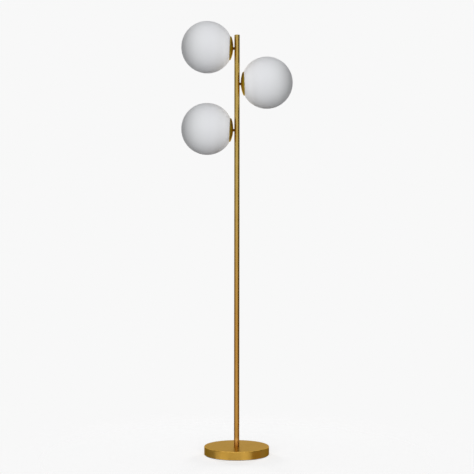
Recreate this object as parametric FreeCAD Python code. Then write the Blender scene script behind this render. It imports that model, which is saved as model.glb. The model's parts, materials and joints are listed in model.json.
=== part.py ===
import FreeCAD, Part
import math
import os

# Tree floor lamp: a round weighted base, a slim pole in screwed sections and three opal globes.
# Millimetres. The origin is on the floor, on the pole's axis. +Z is up, the front faces -Y.

# Overall sizes
base_diameter = 251.0
base_height = 34.0
pole_diameter = 20.6
pole_wall = 1.2
pole_section_count = 3
globe_diameter = 200.0
globe_wall = 3.0

# Heads, from the floor up: the height where each head's axis meets the pole, and its rise
lower_arm_height = 1254.0
middle_above_lower = 179.0
upper_above_middle = 137.0
pole_above_upper = 50.0
head_rise_deg = 2.5

# Clearances
slip_gap = 0.05
press_gap = 0.1
seat_gap = 0.2
turning_gap = 0.3
overrun = 5.0

# Base
cover_wall = 1.2
cover_edge_radius = 3.0
cover_lift = 2.5
pad_thickness = 2.0
pad_inset = 3.0
plate_thickness = 1.5
weight_rim_thickness = 16.0
weight_slope_inset = 18.0
weight_hub_diameter = 60.0
weight_slope_rise = 6.5
weight_boss_diameter = 46.0
nut_recess_diameter = 30.0
nut_recess_depth = 17.1
channel_width = 22.0
channel_height = 12.0
terminal_length = 22.0
terminal_width = 18.0
terminal_distance = 40.0
terminal_lift = 0.4
terminal_way_diameter = 3.2
terminal_way_spacing = 9.6
terminal_way_rise = 6.6
terminal_well_diameter = 3.8
terminal_well_spacing = 10.0
plate_screw_circle = 170.0
plate_screw_count = 3
plate_screw_diameter = 4.0
plate_screw_head = 7.2
plate_screw_length = 12.0

# Cord outlet in the rear of the base
cord_bore = 6.4
grommet_neck = 9.6
grommet_flange = 11.6
grommet_flange_thickness = 1.6
grommet_length = 7.0
cord_outlet_height = 9.5

# Hollow stud that joins the pole to the base
stud_diameter = 13.2
stud_bore = 9.6
stud_reach = 26.0
stud_tail = 0.6
base_nut_flats = 19.0
base_nut_height = 6.0
base_washer_diameter = 27.0
base_washer_thickness = 2.0

# Inner fittings of the pole
bush_length = 30.0
coupler_length = 60.0
coupler_bore = 12.0
finial_height = 3.0
finial_edge = 0.6
finial_spigot = 12.0
block_height = 24.0
block_bore = 11.0

# Hollow stub that carries a head
stub_show = 4.0
stub_diameter = 10.5
stub_thread = 8.0
stub_bore = 5.2
stub_grip = 3.5
stub_end = 32.0

# Cap, fitter and screw collar of a head
cap_rim_diameter = 92.0
cap_depth = 14.0
cap_dome_radius = 118.0
cap_wall = 0.9
fitter_hub_thickness = 4.0
fitter_hub_diameter = 26.0
fitter_web = 3.0
skirt_wall = 2.0
skirt_length = 8.3
flange_width = 5.5
flange_edge = 1.7
bulb_pass_gap = 1.3
collar_wall = 7.6
collar_length = 6.8
gasket_thickness = 2.3
glue_gap = 0.3
washer_diameter = 16.0
washer_thickness = 1.0
socket_nut_flats = 13.0
socket_nut_height = 5.0

# Lampholder and bulb
socket_diameter = 37.0
socket_length = 48.0
socket_heel = 7.0
socket_heel_gap = 1.0
socket_well = 28.0
socket_floor = 5.0
shell_wall = 0.4
shell_length = 23.0
contact_diameter = 10.0
contact_thickness = 0.8
bulb_diameter = 60.0
bulb_wall = 1.0
bulb_base_diameter = 26.0
bulb_base_length = 25.0
bulb_contact_diameter = 9.0
bulb_contact_height = 1.5
bulb_insulator_height = 5.0
bulb_neck_length = 9.0
bulb_flank_length = 44.0

# Leads inside the lamp
supply_lead_diameter = 5.0
branch_lead_diameter = 2.8
supply_lead_lift = 3.0
supply_bend = 7.0
branch_bend = 6.5
branch_cross_offset = 2.0
branch_side_offset = 3.2
splice_diameter = 9.5
splice_length = 22.0
splice_skirt = 6.0
splice_waist_depth = 1.2
splice_below_arm = 26.0
lead_shift_run = 55.0
lead_shift_bend = 60.0
lead_clear_of_block = 12.0
lead_past_heel = 4.5

# Constants of geometry
FULL_TURN = 360.0
RIGHT_ANGLE = 90.0
HEX_SIDES = 6
ORIGIN = FreeCAD.Vector(0, 0, 0)
X_AXIS = FreeCAD.Vector(1, 0, 0)
Y_AXIS = FreeCAD.Vector(0, 1, 0)
Z_AXIS = FreeCAD.Vector(0, 0, 1)

# Heights on the pole, and the side that each head points to
middle_arm_height = lower_arm_height + middle_above_lower
upper_arm_height = middle_arm_height + upper_above_middle
pole_top_height = upper_arm_height + pole_above_upper
heads = {
    "upper": {"arm_height": upper_arm_height, "side": -1},
    "middle": {"arm_height": middle_arm_height, "side": 1},
    "lower": {"arm_height": lower_arm_height, "side": -1},
}
splice_base = lower_arm_height - splice_below_arm - splice_length

# Radii and levels that follow from the sizes above
pole_radius = pole_diameter / 2
pole_bore_radius = pole_radius - pole_wall
pole_fit_radius = pole_bore_radius - slip_gap
section_length = (pole_top_height - base_height) / pole_section_count
cover_radius = base_diameter / 2
cover_bore_radius = cover_radius - cover_wall
plate_base = pad_thickness
weight_base = plate_base + plate_thickness
weight_radius = cover_bore_radius - seat_gap
recess_top = weight_base + nut_recess_depth
stud_base = recess_top - base_washer_thickness - base_nut_height - stud_tail
globe_radius = globe_diameter / 2

# Places along a head's own axis, measured from the pole's axis
cap_back = pole_radius + stub_show
cap_rim_radius = cap_rim_diameter / 2
cap_rim_level = cap_back + cap_depth - cap_wall / 2
dome_centre = cap_back + cap_dome_radius
dome_rise = dome_centre - cap_rim_level
shoulder_radius = (
    (cap_dome_radius ** 2 - dome_rise ** 2 - cap_rim_radius ** 2)
    / (2 * (cap_dome_radius - cap_rim_radius))
)
shoulder_centre = cap_rim_radius - shoulder_radius
shoulder_angle = math.atan2(shoulder_centre, dome_rise)
globe_centre = cap_back + cap_wall + turning_gap + globe_radius
opening_back = cap_back + cap_depth + turning_gap
fitter_sphere = cap_dome_radius - cap_wall - seat_gap
skirt_bore_radius = bulb_diameter / 2 + bulb_pass_gap
skirt_radius = skirt_bore_radius + skirt_wall
flange_radius = skirt_radius + flange_width
collar_bore_radius = skirt_radius + turning_gap
collar_radius = collar_bore_radius + collar_wall
opening_radius = collar_radius + glue_gap
hub_front = dome_centre - fitter_sphere + fitter_hub_thickness
flange_back = dome_centre - math.sqrt(fitter_sphere ** 2 - flange_radius ** 2)
flange_front = flange_back + flange_edge
nut_back = hub_front + washer_thickness
socket_back = nut_back + socket_nut_height + socket_heel_gap
socket_front = socket_back + socket_length
socket_floor_front = socket_front - socket_well
bulb_tip_back = socket_floor_front + contact_thickness + seat_gap
shell_bore_radius = bulb_base_diameter / 2 + turning_gap
shell_radius = shell_bore_radius + shell_wall
socket_bore_radius = shell_radius + seat_gap


def turned(outline):
    """Turn a closed outline of (radius, height) points about Z. A pair of points is an arc."""

    def place(point):
        return FreeCAD.Vector(point[0], 0, point[1])

    last = place(outline[0])
    edges = []
    for step in outline[1:] + outline[:1]:
        if isinstance(step[0], tuple):
            end = place(step[1])
            edges.append(Part.Arc(last, place(step[0]), end).toShape())
        else:
            end = place(step)
            edges.append(Part.makeLine(last, end))
        last = end
    return Part.Face(Part.Wire(edges)).revolve(ORIGIN, Z_AXIS, FULL_TURN)


def ring(outer_radius, inner_radius, base, height):
    """A plain ring, or a disc where the inner radius is zero."""
    return turned([
        (inner_radius, base),
        (outer_radius, base),
        (outer_radius, base + height),
        (inner_radius, base + height),
    ])


def hexagon_nut(flats, bore_radius, base, height):
    corner = flats / 2 / math.cos(math.pi / HEX_SIDES)
    points = []
    for side in range(HEX_SIDES + 1):
        angle = side * 2 * math.pi / HEX_SIDES
        points.append(FreeCAD.Vector(corner * math.cos(angle), corner * math.sin(angle), base))
    body = Part.Face(Part.makePolygon(points)).extrude(Z_AXIS * height)
    return body.cut(ring(bore_radius, 0, base - overrun, height + 2 * overrun))


def block(x_size, y_from, y_to, z_from, z_to):
    """A box centred on X."""
    corner = FreeCAD.Vector(-x_size / 2, y_from, z_from)
    return Part.makeBox(x_size, y_to - y_from, z_to - z_from, corner)


def dome_point(sphere_radius, radius):
    """The point at this radius of a sphere about the centre of the cap's dome."""
    return (radius, dome_centre - math.sqrt(sphere_radius ** 2 - radius ** 2))


def head_axis(head):
    """Direction of a head's axis: out from the pole and up by the rise."""
    rise = math.radians(head_rise_deg)
    return FreeCAD.Vector(head["side"] * math.cos(rise), 0, math.sin(rise))


def on_head(shape, head):
    """Carry a shape made along Z to a head: its Z becomes the head's axis."""
    turn = FreeCAD.Rotation(Y_AXIS, head["side"] * (RIGHT_ANGLE - head_rise_deg))
    place = FreeCAD.Placement(FreeCAD.Vector(0, 0, head["arm_height"]), turn)
    return shape.transformed(place.toMatrix(), True)


def lead(points, bends, diameter):
    """A round lead along straight runs, with a tangent arc of the given radius at each corner."""
    edges = []
    start = points[0]
    for before, corner, after, bend in zip(points, points[1:], points[2:], bends):
        into = (corner - before).normalize()
        out = (after - corner).normalize()
        half_turn = into.getAngle(out) / 2
        setback = bend * math.tan(half_turn)
        arc_start = corner - into * setback
        arc_end = corner + out * setback
        inward = (out - into).normalize()
        middle = corner + inward * (bend / math.cos(half_turn) - bend)
        edges.append(Part.makeLine(start, arc_start))
        edges.append(Part.Arc(arc_start, middle, arc_end).toShape())
        start = arc_end
    edges.append(Part.makeLine(start, points[-1]))
    first_run = points[1] - points[0]
    section = Part.Wire(Part.makeCircle(diameter / 2, points[0], first_run))
    return Part.Wire(edges).makePipeShell([section], True, False)


def foot_pad():
    return ring(cover_radius - pad_inset, 0, 0, pad_thickness)


def plate_screw_places():
    for index in range(plate_screw_count):
        angle = math.radians(RIGHT_ANGLE) + (index + 1 / 2) * 2 * math.pi / plate_screw_count
        radius = plate_screw_circle / 2
        yield FreeCAD.Vector(radius * math.cos(angle), radius * math.sin(angle), 0)


def plate_screw():
    """Countersunk screw, with its head flush in the bottom plate."""
    return turned([
        (0, plate_base),
        (plate_screw_head / 2, plate_base),
        (plate_screw_diameter / 2, weight_base),
        (plate_screw_diameter / 2, plate_base + plate_screw_length),
        (0, plate_base + plate_screw_length),
    ])


def plate_screw_hole():
    """The screw's own outline, wider all round by the slip gap."""
    return turned([
        (0, plate_base),
        (plate_screw_head / 2 + slip_gap, plate_base),
        (plate_screw_diameter / 2 + slip_gap, weight_base),
        (plate_screw_diameter / 2 + slip_gap, plate_base + plate_screw_length + seat_gap),
        (0, plate_base + plate_screw_length + seat_gap),
    ])


def at_plate_screws(shape):
    return Part.makeCompound([shape.translated(place) for place in plate_screw_places()])


def bottom_plate():
    plate = ring(cover_bore_radius - 2 * seat_gap, 0, plate_base, plate_thickness)
    return plate.cut(at_plate_screws(plate_screw_hole()))


def base_weight():
    """Cast disc: thick rim, sloping top, and a boss that the cover sits on."""
    rim_top = weight_base + weight_rim_thickness
    slope_foot = weight_radius - weight_slope_inset
    hub_radius = weight_hub_diameter / 2
    boss_radius = weight_boss_diameter / 2
    boss_top = base_height - cover_wall
    casting = turned([
        (stud_diameter / 2 + seat_gap, weight_base),
        (weight_radius, weight_base),
        (weight_radius, rim_top),
        (slope_foot, rim_top),
        (hub_radius, rim_top + weight_slope_rise),
        (boss_radius, rim_top + weight_slope_rise),
        (boss_radius, boss_top),
        (stud_diameter / 2 + seat_gap, boss_top),
    ])
    recess = ring(nut_recess_diameter / 2, 0, weight_base - overrun, nut_recess_depth + overrun)
    channel = block(
        channel_width, 0, weight_radius + overrun,
        weight_base - overrun, weight_base + channel_height,
    )
    return casting.cut([recess, channel, at_plate_screws(plate_screw_hole())])


def base_cover():
    """Spun shell with a small rounded top edge, a centre hole and the cord's hole at the rear."""
    inner_edge = cover_edge_radius - cover_wall
    turn_in = 1 - math.cos(math.pi / 4)
    top_under = base_height - cover_wall
    hole_radius = stud_diameter / 2 + seat_gap
    shell = turned([
        (cover_bore_radius, cover_lift),
        (cover_radius, cover_lift),
        (cover_radius, base_height - cover_edge_radius),
        (
            (cover_radius - cover_edge_radius * turn_in, base_height - cover_edge_radius * turn_in),
            (cover_radius - cover_edge_radius, base_height),
        ),
        (hole_radius, base_height),
        (hole_radius, top_under),
        (cover_bore_radius - inner_edge, top_under),
        (
            (cover_bore_radius - inner_edge * turn_in, top_under - inner_edge * turn_in),
            (cover_bore_radius, top_under - inner_edge),
        ),
    ])
    hole = Part.makeCylinder(
        grommet_neck / 2 + seat_gap, cover_wall + 2 * overrun,
        FreeCAD.Vector(0, cover_bore_radius - overrun, cord_outlet_height), Y_AXIS,
    )
    return shell.cut(hole)


def cord_grommet():
    """Bush in the cover's rear hole. Its neck ends flush, and its flange lies inside the wall."""
    outer_face = math.sqrt(cover_radius ** 2 - (grommet_neck / 2) ** 2)
    flange_face = math.sqrt(cover_bore_radius ** 2 - (grommet_flange / 2) ** 2) - slip_gap
    inner_face = outer_face - grommet_length
    outline = [
        (cord_bore / 2, inner_face),
        (grommet_neck / 2, inner_face),
        (grommet_neck / 2, flange_face - grommet_flange_thickness),
        (grommet_flange / 2, flange_face - grommet_flange_thickness),
        (grommet_flange / 2, flange_face),
        (grommet_neck / 2, flange_face),
        (grommet_neck / 2, outer_face),
        (cord_bore / 2, outer_face),
    ]
    turn = FreeCAD.Rotation(X_AXIS, -RIGHT_ANGLE)
    place = FreeCAD.Placement(FreeCAD.Vector(0, 0, cord_outlet_height), turn)
    return turned(outline).transformed(place.toMatrix(), True)


def terminal_block():
    """Two-way terminal block under the roof of the weight's channel, screwed from below."""
    base = weight_base + terminal_lift
    far_side = terminal_distance + terminal_length
    body = block(terminal_width, terminal_distance, far_side, base, weight_base + channel_height)
    middle = terminal_distance + terminal_length / 2
    cuts = []
    for side in (-1, 1):
        way_x = side * terminal_way_spacing / 2
        way_end = FreeCAD.Vector(way_x, terminal_distance - overrun, base + terminal_way_rise)
        way_run = terminal_length + 2 * overrun
        cuts.append(Part.makeCylinder(terminal_way_diameter / 2, way_run, way_end, Y_AXIS))
        for end in (-1, 1):
            well_end = FreeCAD.Vector(way_x, middle + end * terminal_well_spacing / 2, base - overrun)
            well_run = overrun + terminal_way_rise
            cuts.append(Part.makeCylinder(terminal_well_diameter / 2, well_run, well_end, Z_AXIS))
    return body.cut(cuts)


def base_stud():
    top = base_height + stud_reach
    return ring(stud_diameter / 2, stud_bore / 2, stud_base, top - stud_base)


def base_washer():
    hole_radius = stud_diameter / 2 + seat_gap
    return ring(
        base_washer_diameter / 2, hole_radius,
        recess_top - base_washer_thickness, base_washer_thickness,
    )


def base_nut():
    bore_radius = stud_diameter / 2 + slip_gap
    return hexagon_nut(base_nut_flats, bore_radius, stud_base + stud_tail, base_nut_height)


def pole_section(index):
    """One length of the pole's tube. The top length has a hole for each head's stub."""
    base = base_height + index * section_length
    tube = ring(pole_radius, pole_bore_radius, base, section_length)
    holes = []
    for head in heads.values():
        if base < head["arm_height"] < base + section_length:
            hole = ring(stub_thread / 2 + press_gap, 0, 0, pole_radius + overrun)
            holes.append(on_head(hole, head))
    return tube.cut(holes) if holes else tube


def pole_foot_bush():
    """Threaded bush in the foot of the pole. The base's stud screws into it."""
    return ring(pole_fit_radius, stud_diameter / 2 + slip_gap, base_height, bush_length)


def pole_coupler(index):
    """Sleeve that screws two lengths of the pole together, half in each."""
    joint = base_height + index * section_length
    return ring(pole_fit_radius, coupler_bore / 2, joint - coupler_length / 2, coupler_length)


def pole_finial():
    """Button that closes the top of the pole, with a spigot inside it."""
    top = pole_top_height + finial_height
    return turned([
        (0, pole_top_height - finial_spigot),
        (pole_fit_radius, pole_top_height - finial_spigot),
        (pole_fit_radius, pole_top_height),
        (pole_radius, pole_top_height),
        (pole_radius, top - finial_edge),
        (pole_radius - finial_edge, top),
        (0, top),
    ])


def arm_block(head):
    """Turned plug inside the pole that a head's stub screws into, bored for the leads."""
    low = head["arm_height"] - block_height / 2
    plug = ring(pole_fit_radius, block_bore / 2, low, block_height)
    thread = ring(stub_thread / 2 + slip_gap, 0, 0, pole_radius + overrun)
    return plug.cut(on_head(thread, head))


def arm_stub(head):
    """Hollow stub: a threaded tail in the pole, a short plain neck and a threaded nose."""
    grip_base = pole_fit_radius - stub_grip
    nose_base = pole_radius + stub_show
    thread_radius = stub_thread / 2
    stub = turned([
        (stub_bore / 2, grip_base),
        (stub_diameter / 2, grip_base),
        (stub_diameter / 2, nose_base),
        (thread_radius, nose_base),
        (thread_radius, stub_end),
        (stub_bore / 2, stub_end),
    ])
    # The neck's inner end is cut to the pole's own curve, and only the thread goes on inside.
    pole_space = ring(pole_radius, 0, -pole_diameter, 2 * pole_diameter)
    pole_space = pole_space.translated(FreeCAD.Vector(0, 0, head["arm_height"]))
    tail = on_head(ring(thread_radius, stub_bore / 2, grip_base, stub_show + stub_grip), head)
    return on_head(stub, head).cut(pole_space).fuse(tail).removeSplitter()


def cap():
    """Spun bowl over the globe's opening: a shallow dome, a round shoulder and a rounded rim."""
    hole_radius = stub_thread / 2 + press_gap

    def at_shoulder(wall, angle):
        reach = shoulder_radius - wall
        return (shoulder_centre + reach * math.sin(angle), cap_rim_level - reach * math.cos(angle))

    def dome_middle(wall):
        return dome_point(cap_dome_radius - wall, shoulder_centre / 2)

    shoulder_middle = (shoulder_angle + math.pi / 2) / 2
    return turned([
        dome_point(cap_dome_radius, hole_radius),
        (dome_middle(0), at_shoulder(0, shoulder_angle)),
        (at_shoulder(0, shoulder_middle), (cap_rim_radius, cap_rim_level)),
        (
            (cap_rim_radius - cap_wall / 2, cap_rim_level + cap_wall / 2),
            (cap_rim_radius - cap_wall, cap_rim_level),
        ),
        (at_shoulder(cap_wall, shoulder_middle), at_shoulder(cap_wall, shoulder_angle)),
        (dome_middle(cap_wall), dome_point(cap_dome_radius - cap_wall, hole_radius)),
    ])


def fitter():
    """Turned fitter behind the cap: a dished back, a flat seat and the screw skirt."""
    hole_radius = stub_thread / 2 + press_gap
    hub_radius = fitter_hub_diameter / 2
    web_sphere = fitter_sphere - fitter_web
    return turned([
        dome_point(fitter_sphere, hole_radius),
        (dome_point(fitter_sphere, flange_radius / 2), dome_point(fitter_sphere, flange_radius)),
        (flange_radius, flange_front),
        (skirt_radius, flange_front),
        (skirt_radius, flange_front + skirt_length),
        (skirt_bore_radius, flange_front + skirt_length),
        dome_point(web_sphere, skirt_bore_radius),
        (
            dome_point(web_sphere, (skirt_bore_radius + hub_radius) / 2),
            dome_point(web_sphere, hub_radius),
        ),
        (hub_radius, hub_front),
        (hole_radius, hub_front),
    ])


def socket_washer():
    hole_radius = stub_thread / 2 + press_gap
    return ring(washer_diameter / 2, hole_radius, hub_front, washer_thickness)


def socket_nut():
    bore_radius = stub_thread / 2 + slip_gap
    return hexagon_nut(socket_nut_flats, bore_radius, nut_back, socket_nut_height)


def gasket():
    """Flat ring that the collar presses on the fitter's seat."""
    return ring(
        flange_radius - seat_gap, skirt_radius + 2 * turning_gap, flange_front, gasket_thickness,
    )


def collar():
    """Screw ring glued in the globe's opening. Its rear lip hides the gasket."""
    seat = flange_front + gasket_thickness
    lip_back = dome_point(cap_dome_radius - cap_wall, collar_radius)[1] + 2 * turning_gap
    lip_radius = flange_radius + turning_gap
    return turned([
        (collar_bore_radius, seat),
        (lip_radius, seat),
        (lip_radius, lip_back),
        (collar_radius, lip_back),
        (collar_radius, seat + collar_length),
        (collar_bore_radius, seat + collar_length),
    ])


def globe():
    """Opal glass ball, flattened to a lip round its one opening."""
    bore_sphere = globe_radius - globe_wall
    lip_front = opening_back + globe_wall
    back_angle = math.acos((globe_centre - opening_back) / globe_radius)
    bore_angle = math.acos((globe_centre - lip_front) / bore_sphere)

    def at(sphere_radius, angle):
        return (sphere_radius * math.sin(angle), globe_centre - sphere_radius * math.cos(angle))

    return turned([
        at(globe_radius, back_angle),
        (at(globe_radius, math.pi / 2), (0, globe_centre + globe_radius)),
        (0, globe_centre + bore_sphere),
        (at(bore_sphere, math.pi / 2), at(bore_sphere, bore_angle)),
        (opening_radius, lip_front),
        (opening_radius, opening_back),
    ])


def socket():
    """Lampholder body: a threaded heel, a wiring chamber, a floor and the well for the bulb."""
    body_radius = socket_diameter / 2
    heel_hole = stub_thread / 2 + slip_gap
    floor_back = socket_floor_front - socket_floor
    body = ring(body_radius, heel_hole, socket_back, socket_length)
    chamber_base = socket_back + socket_heel
    chamber = ring(socket_bore_radius, 0, chamber_base, floor_back - chamber_base)
    well = ring(socket_bore_radius, 0, socket_floor_front, socket_well + overrun)
    floor = ring(socket_bore_radius, 0, floor_back, socket_floor)
    return body.cut([chamber, well]).fuse(floor).removeSplitter()


def screw_shell():
    return ring(shell_radius, shell_bore_radius, socket_floor_front, shell_length)


def centre_contact():
    return ring(contact_diameter / 2, 0, socket_floor_front, contact_thickness)


def bulb_base():
    """Screw cap of the bulb: contact, insulator and shell."""
    shell_start = bulb_tip_back + bulb_insulator_height
    end = bulb_tip_back + bulb_base_length
    base_radius = bulb_base_diameter / 2
    shoulder = base_radius - bulb_contact_height
    return turned([
        (0, bulb_tip_back),
        (bulb_contact_diameter / 2, bulb_tip_back),
        (bulb_contact_diameter / 2, bulb_tip_back + bulb_contact_height),
        (shoulder, shell_start - bulb_contact_height),
        (base_radius, shell_start),
        (base_radius, end),
        (0, end),
    ])


def bulb():
    """Pear-shaped envelope, open where its neck sits on the screw cap. Its flank is straight."""
    neck_start = bulb_tip_back + bulb_base_length
    neck_end = neck_start + bulb_neck_length
    head_centre = neck_end + bulb_flank_length

    def tangent(neck_radius, head_radius):
        """The head's angle where the straight flank from the neck's end touches it."""
        span = math.hypot(neck_radius, head_centre - neck_end)
        return math.atan2(neck_radius, head_centre - neck_end) + math.acos(head_radius / span)

    def on_head_ball(head_radius, angle):
        return (head_radius * math.sin(angle), head_centre - head_radius * math.cos(angle))

    outer_neck = bulb_base_diameter / 2
    inner_neck = outer_neck - bulb_wall
    outer_head = bulb_diameter / 2
    inner_head = outer_head - bulb_wall
    outer_angle = tangent(outer_neck, outer_head)
    inner_angle = tangent(inner_neck, inner_head)
    return turned([
        (outer_neck, neck_start),
        (outer_neck, neck_end),
        on_head_ball(outer_head, outer_angle),
        (
            on_head_ball(outer_head, (outer_angle + math.pi) / 2),
            (0, head_centre + outer_head),
        ),
        (0, head_centre + inner_head),
        (
            on_head_ball(inner_head, (inner_angle + math.pi) / 2),
            on_head_ball(inner_head, inner_angle),
        ),
        (inner_neck, neck_end),
        (inner_neck, neck_start),
    ])


def supply_lead():
    """Lead from the terminal block, up through the stud and the pole, to the splice."""
    level = weight_base + supply_lead_lift
    points = [
        FreeCAD.Vector(0, terminal_distance, level),
        FreeCAD.Vector(0, 0, level),
        FreeCAD.Vector(0, 0, splice_base),
    ]
    return lead(points, [supply_bend], supply_lead_diameter)


def splice_cap():
    """Closed crimp that joins the supply lead to the heads' own leads: a sleeve pressed at its waist."""
    radius = splice_diameter / 2
    waist_radius = radius - splice_waist_depth
    splice_top = splice_base + splice_length
    return turned([
        (0, splice_base),
        (radius, splice_base),
        (radius, splice_base + splice_skirt),
        (waist_radius, splice_base + splice_skirt + splice_waist_depth),
        (waist_radius, splice_top - splice_skirt - splice_waist_depth),
        (radius, splice_top - splice_skirt),
        (radius, splice_top),
        (0, splice_top),
    ])


def branch_lead(head, lane):
    """A head's own lead: up beside the others, over to the pole's middle and out of its stub."""
    splice_top = splice_base + splice_length
    axis = head_axis(head)
    cross_x = -head["side"] * branch_cross_offset
    corner = FreeCAD.Vector(0, 0, head["arm_height"]) + axis * (cross_x / axis.x)
    end = FreeCAD.Vector(0, 0, head["arm_height"]) + axis * (socket_back + socket_heel + lead_past_heel)
    if lane == 0:
        points = [FreeCAD.Vector(cross_x, 0, splice_top), corner, end]
        return lead(points, [branch_bend], branch_lead_diameter)
    side_y = lane * branch_side_offset
    shift_top = head["arm_height"] - block_height / 2 - lead_clear_of_block
    points = [
        FreeCAD.Vector(0, side_y, splice_top),
        FreeCAD.Vector(0, side_y, shift_top - lead_shift_run),
        FreeCAD.Vector(cross_x, 0, shift_top),
        corner,
        end,
    ]
    return lead(points, [lead_shift_bend, lead_shift_bend, branch_bend], branch_lead_diameter)


def export(node, shape):
    shape.exportStep("parts/" + node + ".step")


os.makedirs("parts", exist_ok=True)

export("foot_pad", foot_pad())
export("bottom_plate", bottom_plate())
export("plate_screws", at_plate_screws(plate_screw()))
export("base_weight", base_weight())
export("base_cover", base_cover())
export("cord_grommet", cord_grommet())
export("terminal_block", terminal_block())
export("base_stud", base_stud())
export("base_washer", base_washer())
export("base_nut", base_nut())

export("lower_pole", pole_section(0))
export("middle_pole", pole_section(1))
export("upper_pole", pole_section(2))
export("pole_foot_bush", pole_foot_bush())
export("lower_coupler", pole_coupler(1))
export("upper_coupler", pole_coupler(2))
export("pole_finial", pole_finial())
export("supply_lead", supply_lead())
export("splice_cap", splice_cap())

lanes = {"lower": 0, "middle": 1, "upper": -1}
for name, head in heads.items():
    export(name + "_arm_block", arm_block(head))
    export(name + "_arm_stub", arm_stub(head))
    export(name + "_cap", on_head(cap(), head))
    export(name + "_fitter", on_head(fitter(), head))
    export(name + "_socket", on_head(socket(), head))
    export(name + "_screw_shell", on_head(screw_shell(), head))
    export(name + "_gasket", on_head(gasket(), head))
    export(name + "_collar", on_head(collar(), head))
    export(name + "_globe", on_head(globe(), head))
    export(name + "_bulb_base", on_head(bulb_base(), head))
    export(name + "_bulb", on_head(bulb(), head))
    export(name + "_lead", branch_lead(head, lanes[name]))

for node, make in (
    ("socket_washers", socket_washer),
    ("socket_nuts", socket_nut),
    ("centre_contacts", centre_contact),
):
    export(node, Part.makeCompound([on_head(make(), head) for head in heads.values()]))
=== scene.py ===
import bmesh
import bpy
import json
import math
from mathutils import Matrix, Vector


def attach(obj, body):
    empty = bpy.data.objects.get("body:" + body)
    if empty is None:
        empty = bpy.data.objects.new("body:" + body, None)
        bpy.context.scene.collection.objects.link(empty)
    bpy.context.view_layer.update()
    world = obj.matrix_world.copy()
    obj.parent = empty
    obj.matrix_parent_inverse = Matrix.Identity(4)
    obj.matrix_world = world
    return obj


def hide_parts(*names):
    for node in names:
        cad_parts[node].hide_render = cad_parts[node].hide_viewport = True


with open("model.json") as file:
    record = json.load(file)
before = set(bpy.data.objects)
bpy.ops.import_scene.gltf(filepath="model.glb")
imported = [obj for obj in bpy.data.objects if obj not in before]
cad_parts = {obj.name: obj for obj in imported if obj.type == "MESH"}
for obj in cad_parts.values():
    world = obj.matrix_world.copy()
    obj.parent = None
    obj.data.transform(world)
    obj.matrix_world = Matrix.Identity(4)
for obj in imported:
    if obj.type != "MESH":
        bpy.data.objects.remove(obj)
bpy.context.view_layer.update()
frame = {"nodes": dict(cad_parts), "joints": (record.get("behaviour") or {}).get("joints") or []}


# Camera
# It stands level at half the lamp's height, 4.4 m away, so the lamp shows almost without
# perspective, and it leans by a sixteenth of a degree.
camera_lean = -0.00109


def placed_object(name, data):
    made = bpy.data.objects.new(name, data)
    bpy.context.scene.collection.objects.link(made)
    return made


camera_lens = bpy.data.cameras.new("camera")
camera_lens.sensor_width = 36
camera_lens.lens = 85.82
camera = placed_object("camera", camera_lens)
camera.location = (0.0006, -4.37, 0.8415)
camera.rotation_euler = (math.radians(90), camera_lean, 0)
bpy.context.scene.camera = camera
bpy.context.scene.view_settings.view_transform = "Standard"


# Studio
# A pale room: soft lamps in front to the left and the right, two behind and one overhead. The
# camera and the metal see a pale wall all round. Grey screens at the sides darken the metal's
# edges, and cards on the floor shade the base's rim. Only reflections meet them.
wall_white = (0.939, 0.939, 0.939, 1)
room_grey = (0.11, 0.11, 0.113, 1)


def feed(tree, target, values):
    """Gives a node's sockets their values: a number, a colour, or another node's socket."""
    for key, value in values.items():
        if isinstance(value, bpy.types.NodeSocket):
            tree.links.new(value, target.inputs[key])
        else:
            target.inputs[key].default_value = value


def node(tree, kind, values=None, **settings):
    made = tree.nodes.new(kind)
    for key, value in settings.items():
        setattr(made, key, value)
    feed(tree, made, values or {})
    return made


def result(tree, kind, values=None, **settings):
    """The first output of a new node."""
    return node(tree, kind, values, **settings).outputs[0]


def calc(tree, operation, *values):
    return result(tree, "ShaderNodeMath", dict(enumerate(values)), operation=operation)


def blend(tree, share, low, high, **settings):
    """The colour between two others, at a share from 0 to 1."""
    mixed = node(tree, "ShaderNodeMix", {0: share, 6: low, 7: high}, data_type="RGBA", **settings)
    return mixed.outputs[2]


def spread(tree, value, start, end, low=0.0, high=1.0, kind="LINEAR"):
    """Low where the value is at its start, high at its end, and between them on the way."""
    return result(tree, "ShaderNodeMapRange", {"Value": value, "From Min": start, "From Max": end,
                                               "To Min": low, "To Max": high}, interpolation_type=kind)


def coordinate(tree, place, axis):
    return node(tree, "ShaderNodeSeparateXYZ", {0: place}).outputs[axis]


def length(tree, vector):
    return node(tree, "ShaderNodeVectorMath", {0: vector}, operation="LENGTH").outputs["Value"]


def seen_directly(tree):
    """1 for rays from the camera, through glass or off a glossy surface, and 0 for the rest."""
    path = node(tree, "ShaderNodeLightPath").outputs
    both = calc(tree, "MAXIMUM", path["Is Camera Ray"], path["Is Glossy Ray"])
    return calc(tree, "MAXIMUM", both, path["Is Transmission Ray"])


studio = bpy.data.worlds.new("studio")
studio.use_nodes = True
bpy.context.scene.world = studio
wall_tree = studio.node_tree
wall_colour = blend(wall_tree, seen_directly(wall_tree), room_grey, wall_white)
feed(wall_tree, wall_tree.nodes["Background"], {"Color": wall_colour})


def soft_lamp(name, place, aim, size, power):
    light = bpy.data.lights.new(name, "AREA")
    light.shape = "DISK"
    light.size = size
    light.energy = power
    lamp = placed_object(name, light)
    lamp.location = place
    lamp.rotation_euler = (Vector(place) - Vector(aim)).to_track_quat("Z", "Y").to_euler()
    lamp.visible_camera = False
    lamp.visible_glossy = False


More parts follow.
